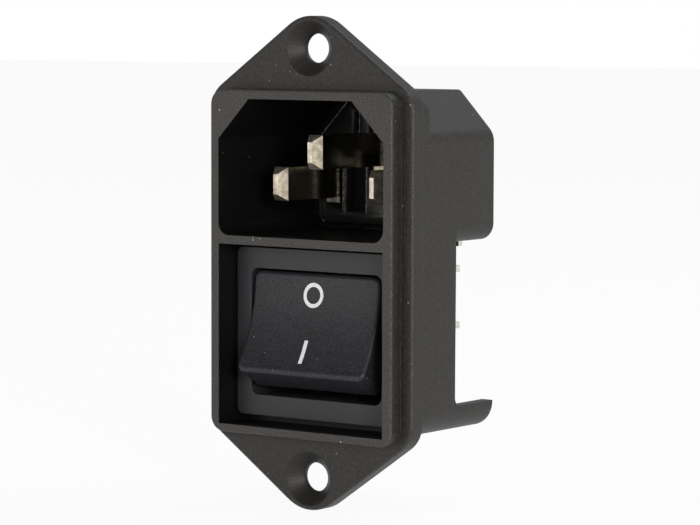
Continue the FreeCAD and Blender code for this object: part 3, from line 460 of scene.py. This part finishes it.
# %% Make the metals
CUT_FACING, CUT_ROUGHNESS, CUT_TONES = -0.2, 0.5, (1.05, 1.95)
SPOT_SCALE, SPOT_SPAN = 1400.0, (0.35, 0.65)
nickel, tree, shader = metal("nickel_plate", (0.46, 0.42, 0.34), 0.14)
facing = add_node(tree, "ShaderNodeSeparateXYZ",
                  {0: add_node(tree, "ShaderNodeNewGeometry").outputs["True Normal"]})
cut_face = maths(tree, "LESS_THAN", facing.outputs["Y"], CUT_FACING)
drawn_rough = shader.inputs["Roughness"].links[0].from_socket
cut_rough = add_node(tree, "ShaderNodeMix",
                     {"Factor": cut_face, 2: drawn_rough, 3: CUT_ROUGHNESS})
tree.links.new(cut_rough.outputs[0], shader.inputs["Roughness"])
drawn_colour = shader.inputs["Base Color"].links[0].from_socket
spots = noise(tree, add_node(tree, "ShaderNodeTexCoord").outputs["Object"], SPOT_SCALE, 4.0)
cut_colour = tinted(tree, drawn_colour, remap(tree, spots, *SPOT_SPAN, *CUT_TONES))
tree.links.new(mixed(tree, cut_face, drawn_colour, cut_colour), shader.inputs["Base Color"])
tin = metal("tin_plate", (0.78, 0.77, 0.74), 0.32)[0]
steel = metal("spring_steel", (0.56, 0.56, 0.57), 0.3, fineness=14000.0)[0]
silver = metal("contact_silver", (0.82, 0.8, 0.76), 0.35)[0]
print("metals:", nickel.name, tin.name, steel.name, silver.name)

# %% [markdown]
# ### White print
# The O and I are printed in white ink, which is matt and slightly uneven where it is thin.

# %% Make the print
ink, tree, shader = new_finish("white_ink")
inked = add_node(tree, "ShaderNodeGroup", node_tree=skin)
inked.inputs["Contrast"].default_value = 0.08
tree.links.new(tinted(tree, (0.84, 0.86, 0.88), inked.outputs["Tone"]),
               shader.inputs["Base Color"])
tree.links.new(maths(tree, "MULTIPLY", inked.outputs["Roughness"], 0.5),
               shader.inputs["Roughness"])
print(ink.name, len(tree.nodes), "nodes")

# %% [markdown]
# ### A finish for every solid
# The record gives each solid a slot, which is a plain word for what it is made of. One table says
# which finish belongs to which slot, so solids of the same stuff always look the same.

# %% Give every solid its finish
FINISHES = {"moulding": housing_plastic, "insulator": insulator, "blade": nickel, "tab": tin,
            "switch_moulding": switch_plastic, "rocker": rocker_plastic, "plunger": nylon,
            "spring": steel, "contact": silver}
for name, node in nodes.items():
    node.data.materials.clear()
    node.data.materials.append(FINISHES[slot_of[name]])
print("finishes:", len(FINISHES), "on", len(nodes), "nodes")

# %% [markdown]
# ## Crisp pieces
# A moulded or stamped edge is never sharp: it is rounded by a few hundredths of a millimetre and
# draws a thin light line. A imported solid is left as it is, so each gets a finished copy that stands
# for it and rides on the same body, which keeps the copy in place when a joint moves.

# %% Tools for the pieces
def place_piece(name, mesh, body, replaced=()):
    """Put a finished mesh on a body and hide the nodes that it stands for."""
    piece = bpy.data.objects.new(name, mesh)
    bpy.context.collection.objects.link(piece)
    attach(piece, body)
    if replaced:
        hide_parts(*replaced)


def settled(worker):
    """The mesh that an object's modifiers make, kept as a plain mesh."""
    depsgraph = bpy.context.evaluated_depsgraph_get()
    mesh = bpy.data.meshes.new_from_object(worker.evaluated_get(depsgraph))
    bpy.data.objects.remove(worker)
    return mesh


def corners_of(mesh, face):
    """The corners of a face, in millimetres."""
    return [mesh.vertices[index].co / MM for index in face.vertices]


print("piece tools ready")

# %% [markdown]
# ### Where the second finishes go
# The housing's walls with painted shade are the faces whose corners all lie inside the socket or
# the switch recess. On the insulator the small chamfers that face left get a painted highlight,
# and so do the narrow ribs between a blade's well and the recess beside it.

# %% Say where the painted shade and the painted rib highlights go
SOCKET_LOW, SOCKET_HIGH, SOCKET_SIDE, SOCKET_DEEP = 3.0, 19.2, 11.98, 16.35
RECESS_LOW, RECESS_HIGH, RECESS_SIDE, RECESS_DEEP = -19.3, 2.05, 11.93, 1.05
FRONT_FACE = -3.96
RIB_INNER, RIB_OUTER, RIB_DEPTH = 5.1, 5.85, 12.2


def in_cavity(point):
    """Tells whether a point of the housing lies on a wall of the socket or the switch recess."""
    across, depth, height = point
    socket = SOCKET_LOW < height < SOCKET_HIGH and depth < SOCKET_DEEP
    recess = RECESS_LOW < height < RECESS_HIGH and depth < RECESS_DEEP
    in_socket = socket and abs(across) < SOCKET_SIDE
    in_recess = recess and abs(across) < RECESS_SIDE
    return depth > FRONT_FACE and (in_socket or in_recess)


def on_rib(point):
    """Tells whether a point lies on the front of a narrow rib beside a blade."""
    across, depth, _ = point
    return RIB_INNER < abs(across) < RIB_OUTER and depth < RIB_DEPTH


print("shaded walls end", SOCKET_DEEP, "and", RECESS_DEEP, "mm from the panel")

# %% Tools to paint the second finishes
SLANT_LEFT, SLANT_FRONT = -0.3, (-0.9, -0.3)


def paint_housing(mesh):
    """Painted shade: near black plastic on the walls of the socket and the recess."""
    mesh.materials.append(cavity)
    for face in mesh.polygons:
        face.material_index = int(all(in_cavity(corner) for corner in corners_of(mesh, face)))


def paint_carrier(mesh):
    """Painted highlights on the insulator's left-facing chamfers and on its narrow ribs."""
    mesh.materials.append(chamfer_highlight)
    mesh.materials.append(rib_highlight)
    for face in mesh.polygons:
        if face.normal.x < SLANT_LEFT and SLANT_FRONT[0] < face.normal.y < SLANT_FRONT[1]:
            face.material_index = 1
        elif all(on_rib(corner) for corner in corners_of(mesh, face)):
            face.material_index = 2


print("second finishes:", cavity.name, chamfer_highlight.name, rib_highlight.name)

# %% [markdown]
# ### Merge, flatten and round
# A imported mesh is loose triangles. A copy of it is merged, the triangles of each flat face are
# joined, and a bevel rounds its edges. Weighted normals keep the big faces flat. The insulator's
# front is one face with many holes, which a bevel would fold, so its copy keeps its own small
# chamfers and only gets sharp edges. A spring gets no copy here, because its coil is made later.

# %% Merge a copy
EDGE_ROUNDING = {"moulding": 0.05, "switch_moulding": 0.06, "rocker": 0.05, "blade": 0.04,
                 "tab": 0.04, "plunger": 0.04, "contact": 0.04}
WELD, FLAT_ANGLE, SHARP_ANGLE = 0.002 * MM, math.radians(0.4), math.radians(30)


def merged_copy(node, slot):
    """A node's mesh with its loose triangles joined, and flat faces where it will be bevelled."""
    shape = bmesh.new()
    shape.from_mesh(nodes[node].data)
    bmesh.ops.remove_doubles(shape, verts=shape.verts, dist=WELD)
    if slot in EDGE_ROUNDING:
        bmesh.ops.dissolve_limit(shape, angle_limit=FLAT_ANGLE, verts=shape.verts,
                                 edges=shape.edges)
    mesh = bpy.data.meshes.new(node + "_worker")
    shape.to_mesh(mesh)
    shape.free()
    mesh.materials.append(FINISHES[slot])
    mesh.shade_smooth()
    return mesh


print("slots with rounded edges:", len(EDGE_ROUNDING))

# %% Make the crisp copies
BLADE_ANGLE, EDGE_ANGLE = math.radians(25), math.radians(35)


def crisp_copy(node):
    """A merged copy of a CAD node with rounded edges, in the node's place."""
    slot = slot_of[node]
    mesh = merged_copy(node, slot)
    worker = bpy.data.objects.new(node + "_worker", mesh)
    bpy.context.collection.objects.link(worker)
    if slot in EDGE_ROUNDING:
        bevel = worker.modifiers.new("rounding", "BEVEL")
        bevel.width = EDGE_ROUNDING[slot] * MM
        bevel.segments = 2
        bevel.limit_method = "ANGLE"
        bevel.angle_limit = BLADE_ANGLE if slot == "blade" else EDGE_ANGLE
        bevel.use_clamp_overlap = False
        flat = worker.modifiers.new("flat_faces", "WEIGHTED_NORMAL")
        flat.keep_sharp = False
    else:
        mesh.set_sharp_from_angle(angle=SHARP_ANGLE)
    mesh = settled(worker)
    if node == "housing":
        paint_housing(mesh)
    if node == "pin_carrier":
        paint_carrier(mesh)
    place_piece(node + "_shape", mesh, body_of[node], [node])


for name in nodes:
    if slot_of[name] != "spring":
        crisp_copy(name)

# %% [markdown]
# ## The rocker's own frame
# The rocker was drawn square to itself and then turned about its hinge. Everything that belongs
# to it is easier to place in that square frame, so one matrix takes a point from there to the
# part. Half of the hinge's range is the rest tilt, because the switch rests at one end.

# %% Find the rocker's frame
hinge = next(joint for joint in frame["joints"] if joint["name"] == "rocker_hinge")
rest_tilt = math.radians(hinge["range_deg"][1] / 2)
to_part = Matrix.Translation(hinge["pos_m"]) @ Matrix.Rotation(-rest_tilt, 4, "X")
print("hinge at", hinge["pos_m"], "rest tilt", round(math.degrees(rest_tilt), 1))

# %% [markdown]
# ### The O and I marks
# Pad printing lays a skin of ink about a hundredth of a millimetre thick on the hollow face. The
# face is part of a cylinder, so the depth of each point of a mark follows from how far up it is.
# The cylinder's radius, how far the rocker's ends stand out and how deep the hollow is say where.

# %% Tools for the marks
FACE_RADIUS, FACE_REACH, HOLLOW = 19.25, 5.07, 0.97
INK, MARKS_ACROSS = 0.015, -0.22


def face_depth(up):
    """Depth of the hollow face at a height, in the rocker's frame, in millimetres."""
    return math.sqrt(FACE_RADIUS ** 2 - up ** 2) - FACE_RADIUS - FACE_REACH + HOLLOW


def printed_mark(name, rows):
    """Ink over a grid of points (across, up), with a rim that closes down to the plastic."""
    shape = bmesh.new()
    grid = []
    for row in rows:
        grid.append([shape.verts.new(((MARKS_ACROSS + x) * MM, (face_depth(z) - INK) * MM, z * MM))
                     for x, z in row])
    for first, second in zip(grid, grid[1:]):
        for i in range(len(first) - 1):
            shape.faces.new((first[i], first[i + 1], second[i + 1], second[i]))
    bmesh.ops.remove_doubles(shape, verts=shape.verts, dist=WELD)
    rim = [edge for edge in shape.edges if edge.is_boundary]
    skirt = bmesh.ops.extrude_edge_only(shape, edges=rim)["geom"]
    for vert in (item for item in skirt if isinstance(item, bmesh.types.BMVert)):
        vert.co.y += 2 * INK * MM
    bmesh.ops.recalc_face_normals(shape, faces=shape.faces)
    shape.transform(to_part)
    mesh = bpy.data.meshes.new(name)
    shape.to_mesh(mesh)
    shape.free()
    mesh.materials.append(ink)
    place_piece(name, mesh, "rocker")


def ring(centre, inner, outer, steps=72, bands=4):
    """Rows of points for a round mark, from its inner to its outer edge."""
    rows = []
    for band in range(bands + 1):
        radius = inner + (outer - inner) * band / bands
        turns = [2 * math.pi * step / steps for step in range(steps + 1)]
        rows.append([(radius * math.cos(t), centre + radius * math.sin(t)) for t in turns])
    return rows


def bar(centre, width, length, steps=24):
    """Rows of points for an upright bar."""
    heights = [centre + length * (step / steps - 0.5) for step in range(steps + 1)]
    return [[(side * width / 2, up) for up in heights] for side in (-1, -0.5, 0, 0.5, 1)]


print("hollow face at its middle:", round(face_depth(0), 2), "mm from the hinge")

# %% Print the marks
printed_mark("off_mark", ring(centre=3.55, inner=0.99, outer=1.44))
printed_mark("on_mark", bar(centre=-3.2, width=0.52, length=2.85))

# %% [markdown]
# ## Pieces grown by Geometry Nodes
# A geometry tree turns a few named inputs into a shape, so one tree makes every spring and one
# makes every rivet head. The result is kept as a plain mesh and the tree goes no further.

# %% A frame for geometry trees
def new_growth(name, inputs):
    """An empty geometry tree with float inputs and a material. Returns what new_group does."""
    tree = bpy.data.node_groups.new(name, "GeometryNodeTree")
    tree.interface.new_socket(name="Geometry", in_out="INPUT", socket_type="NodeSocketGeometry")
    for label, start in inputs.items():
        socket = tree.interface.new_socket(name=label, in_out="INPUT",
                                           socket_type="NodeSocketFloat")
        socket.default_value = start
    tree.interface.new_socket(name="Material", in_out="INPUT", socket_type="NodeSocketMaterial")
    tree.interface.new_socket(name="Geometry", in_out="OUTPUT", socket_type="NodeSocketGeometry")
    given = add_node(tree, "NodeGroupInput").outputs
    return tree, given, add_node(tree, "NodeGroupOutput").inputs


def close_growth(tree, given, result, geometry):
    """Real mesh with its material, at the end of a tree."""
    real = add_node(tree, "GeometryNodeRealizeInstances", {"Geometry": geometry}).outputs[0]
    smooth = add_node(tree, "GeometryNodeSetShadeSmooth", {"Geometry": real}).outputs[0]
    done = add_node(tree, "GeometryNodeSetMaterial",
                    {"Geometry": smooth, "Material": given["Material"]}).outputs[0]
    tree.links.new(done, result["Geometry"])


def grow(tree, points, turned, **settings):
    """Run a tree on a few points, turn the result into place and keep it as a plain mesh."""
    seed = bpy.data.meshes.new(tree.name + "_seed")
    seed.from_pydata(points, [], [])
    worker = bpy.data.objects.new(tree.name + "_worker", seed)
    bpy.context.collection.objects.link(worker)
    growth = worker.modifiers.new("growth", "NODES")
    growth.node_group = tree
    for item in tree.interface.items_tree:
        if item.in_out == "INPUT" and item.name in settings:
            growth[item.identifier] = settings[item.name]
    mesh = settled(worker)
    mesh.transform(turned)
    return mesh


print("growth tools ready")

# %% [markdown]
# ### Coil springs
# Wire is wound on a rod. At both ends the last turns lie close together, so that the spring
# stands square on its seat, and between them the pitch is open. The tree bends a straight line of
# points into that helix: the angle grows evenly, and a curve says how far along each turn sits.

# %% Build the coil's tree
STEPS, END_SHARE, END_RISE = 480, 0.14, 0.075
SPRING = {"Turns": 9.0, "Radius": 0.8 * MM, "Wire": 0.3 * MM, "Length": 4.6 * MM}
coil, given, result = new_growth("coil_spring", SPRING)
line = add_node(coil, "GeometryNodeMeshLine", {"Count": STEPS}).outputs[0]
index = add_node(coil, "GeometryNodeInputIndex").outputs[0]
along = maths(coil, "DIVIDE", index, STEPS - 1)
turn = maths(coil, "MULTIPLY", maths(coil, "MULTIPLY", along, given["Turns"]), 2 * math.pi)
pitch = add_node(coil, "ShaderNodeFloatCurve", {"Value": along})
curve = pitch.mapping.curves[0]
curve.points[0].location, curve.points[1].location = (0, 0), (1, 1)
curve.points.new(END_SHARE, END_RISE)
curve.points.new(1 - END_SHARE, 1 - END_RISE)
pitch.mapping.update()
bent = add_node(coil, "ShaderNodeCombineXYZ", {
    "X": maths(coil, "MULTIPLY", given["Radius"], maths(coil, "COSINE", turn)),
    "Z": maths(coil, "MULTIPLY", given["Radius"], maths(coil, "SINE", turn)),
    "Y": maths(coil, "MULTIPLY", given["Length"], pitch.outputs[0])}).outputs[0]
helix = add_node(coil, "GeometryNodeSetPosition", {"Geometry": line, "Position": bent}).outputs[0]
path = add_node(coil, "GeometryNodeMeshToCurve", {"Mesh": helix}).outputs[0]
wire = add_node(coil, "GeometryNodeCurvePrimitiveCircle", {
    "Resolution": 12, "Radius": maths(coil, "MULTIPLY", given["Wire"], 0.5)}).outputs[0]
wound = add_node(coil, "GeometryNodeCurveToMesh",
                 {"Curve": path, "Profile Curve": wire, "Fill Caps": True}).outputs[0]
points = add_node(coil, "GeometryNodeInstanceOnPoints",
                  {"Points": given["Geometry"], "Instance": wound}).outputs[0]
close_growth(coil, given, result, points)
print(coil.name, len(coil.nodes), "nodes")

# %% Wind both springs
SPRING_START, POLE = -2.2, 5.0
for side, across in (("left", -POLE), ("right", POLE)):
    mesh = grow(coil, [(across * MM, SPRING_START * MM, 0)], to_part, Material=steel, **SPRING)
    place_piece(f"{side}_spring_coil", mesh, "rocker", [f"{side}_spring"])
    print(side, "spring grown, faces:", len(mesh.polygons))

# %% [markdown]
# ### Rivet heads
# A rivet's tail is spun over with a rolling tool, which leaves a low dome with a flat top. The
# tree presses a ball into that shape and sets one on each point that it is given.

# %% Build the rivet's tree
RIVET = {"Radius": 1.25 * MM, "Rise": 0.62 * MM}
FLAT_TOP, FLAT_FOOT = 0.86, -0.05
rivet, given, result = new_growth("rivet_head", RIVET)
ball = add_node(rivet, "GeometryNodeMeshUVSphere",
                {"Segments": 40, "Rings": 24, "Radius": 1.0}).outputs[0]
spot = add_node(rivet, "ShaderNodeSeparateXYZ",
                {0: add_node(rivet, "GeometryNodeInputPosition").outputs[0]})
flat_top = maths(rivet, "MINIMUM", spot.outputs["Z"], FLAT_TOP)
lifted = maths(rivet, "MAXIMUM", flat_top, FLAT_FOOT)
pressed = add_node(rivet, "ShaderNodeCombineXYZ", {
    "X": maths(rivet, "MULTIPLY", spot.outputs["X"], given["Radius"]),
    "Z": maths(rivet, "MULTIPLY", spot.outputs["Y"], given["Radius"]),
    "Y": maths(rivet, "MULTIPLY", lifted, given["Rise"])}).outputs[0]
head = add_node(rivet, "GeometryNodeSetPosition",
                {"Geometry": ball, "Position": pressed}).outputs[0]
turned_out = add_node(rivet, "GeometryNodeFlipFaces", {"Mesh": head}).outputs[0]
heads = add_node(rivet, "GeometryNodeInstanceOnPoints",
                 {"Points": given["Geometry"], "Instance": turned_out}).outputs[0]
close_growth(rivet, given, result, heads)
print(rivet.name, len(rivet.nodes), "nodes")

# %% Set a rivet on each blade
blades = [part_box(name) for name in ("line_pin", "neutral_pin", "earth_pin")]
tab_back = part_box("line_tab")[1].y
tails = [((low.x + high.x) / 2, tab_back, (low.z + high.z) / 2) for low, high in blades]
mesh = grow(rivet, tails, Matrix.Identity(4), Material=nickel, **RIVET)
place_piece("blade_rivets", mesh, "inlet")
print("rivet heads:", len(tails))
